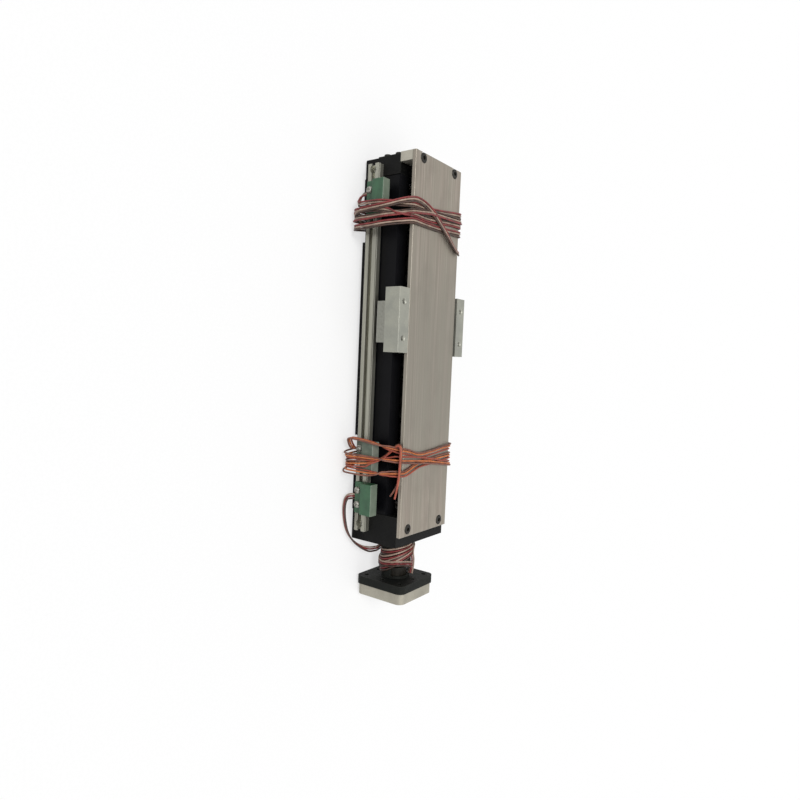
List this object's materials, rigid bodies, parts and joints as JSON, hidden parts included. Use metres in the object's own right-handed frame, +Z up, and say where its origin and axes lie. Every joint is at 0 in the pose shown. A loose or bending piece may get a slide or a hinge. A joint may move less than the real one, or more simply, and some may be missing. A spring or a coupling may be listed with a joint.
{
  "type": "linear stage",
  "caption": "Ball-screw linear stage with a cover, a winged carriage, a side rail of limit sensors and a motor flange; its sensor leads are wound round it.",
  "frame": {"origin": "centre of the seat under the guide rail", "axes": "+X along the travel towards the motor end, +Y away from the sensor rail, +Z up out of the cover"},
  "size_m": [0.3239, 0.0887, 0.0493],
  "materials": {
    "cover_aluminium": "drawn, fine lengthwise grain",
    "aluminium": "milled and bead-blasted",
    "rail_aluminium": "extruded",
    "black_steel": "black oxide",
    "black_casting": "black, fine cast texture",
    "black_screw": "black oxide",
    "bright_screw": "zinc plated",
    "bearing_steel": "ground and oiled",
    "grey_sheet": "zinc-plated sheet",
    "green_resin": "moulded",
    "black_resin": "moulded",
    "rubber": "moulded",
    "lead_insulation": "thin insulated wires"
  },
  "bodies": {
    "base": {"guide_rail": "black_steel", "far_housing": "black_casting", "far_bearing_plate": "black_casting", "far_plate_screws": "black_screw", "far_bearing": "bearing_steel", "spacer_block": "aluminium", "cover_plate": "cover_aluminium", "cover_screws": "black_screw", "drive_housing": "black_casting", "drive_bearings": "bearing_steel", "far_bumpers": "rubber", "drive_bumpers": "rubber", "motor_bracket": "black_casting", "motor_flange": "black_casting", "adaptor_plate": "aluminium", "adaptor_screws": "bright_screw", "sensor_rail": "rail_aluminium", "sensor_rail_screws": "bright_screw", "far_limit_sensor": "green_resin", "home_sensor": "green_resin", "drive_limit_sensor": "green_resin", "sensor_screws": "bright_screw", "sensor_nuts": "bright_screw", "far_lead_wrap": "lead_insulation", "near_lead_wrap": "lead_insulation", "neck_lead_coil": "lead_insulation", "far_sensor_lead": "lead_insulation", "far_lead_end": "lead_insulation", "near_lead_end": "lead_insulation", "drive_sensor_lead": "lead_insulation"},
    "carriage": {"carriage_saddle": "aluminium", "saddle_screws": "black_screw", "carriage_block": "black_steel", "carriage_end_caps": "black_resin", "ball_nut": "bearing_steel", "guide_balls": "bearing_steel", "sensor_dog": "grey_sheet", "sensor_dog_screws": "bright_screw"},
    "screw": {"ball_screw": "bearing_steel", "bearing_lock_nut": "black_screw", "screw_coupling": "aluminium", "coupling_screws": "black_screw"}
  },
  "joints": [
    {"name": "carriage_travel", "type": "slide", "parent": "base", "child": "carriage", "axis": [1, 0, 0], "range_m": [-0.035, 0.06]},
    {"name": "screw_turn", "type": "hinge", "parent": "base", "child": "screw", "pos_m": [0, 0, 0.022], "axis": [1, 0, 0], "range_deg": [-2200, 1300]}
  ],
  "couplings": [
    {"joint": "screw_turn", "follows": "carriage_travel", "rad_per_m": -628.32}
  ]
}
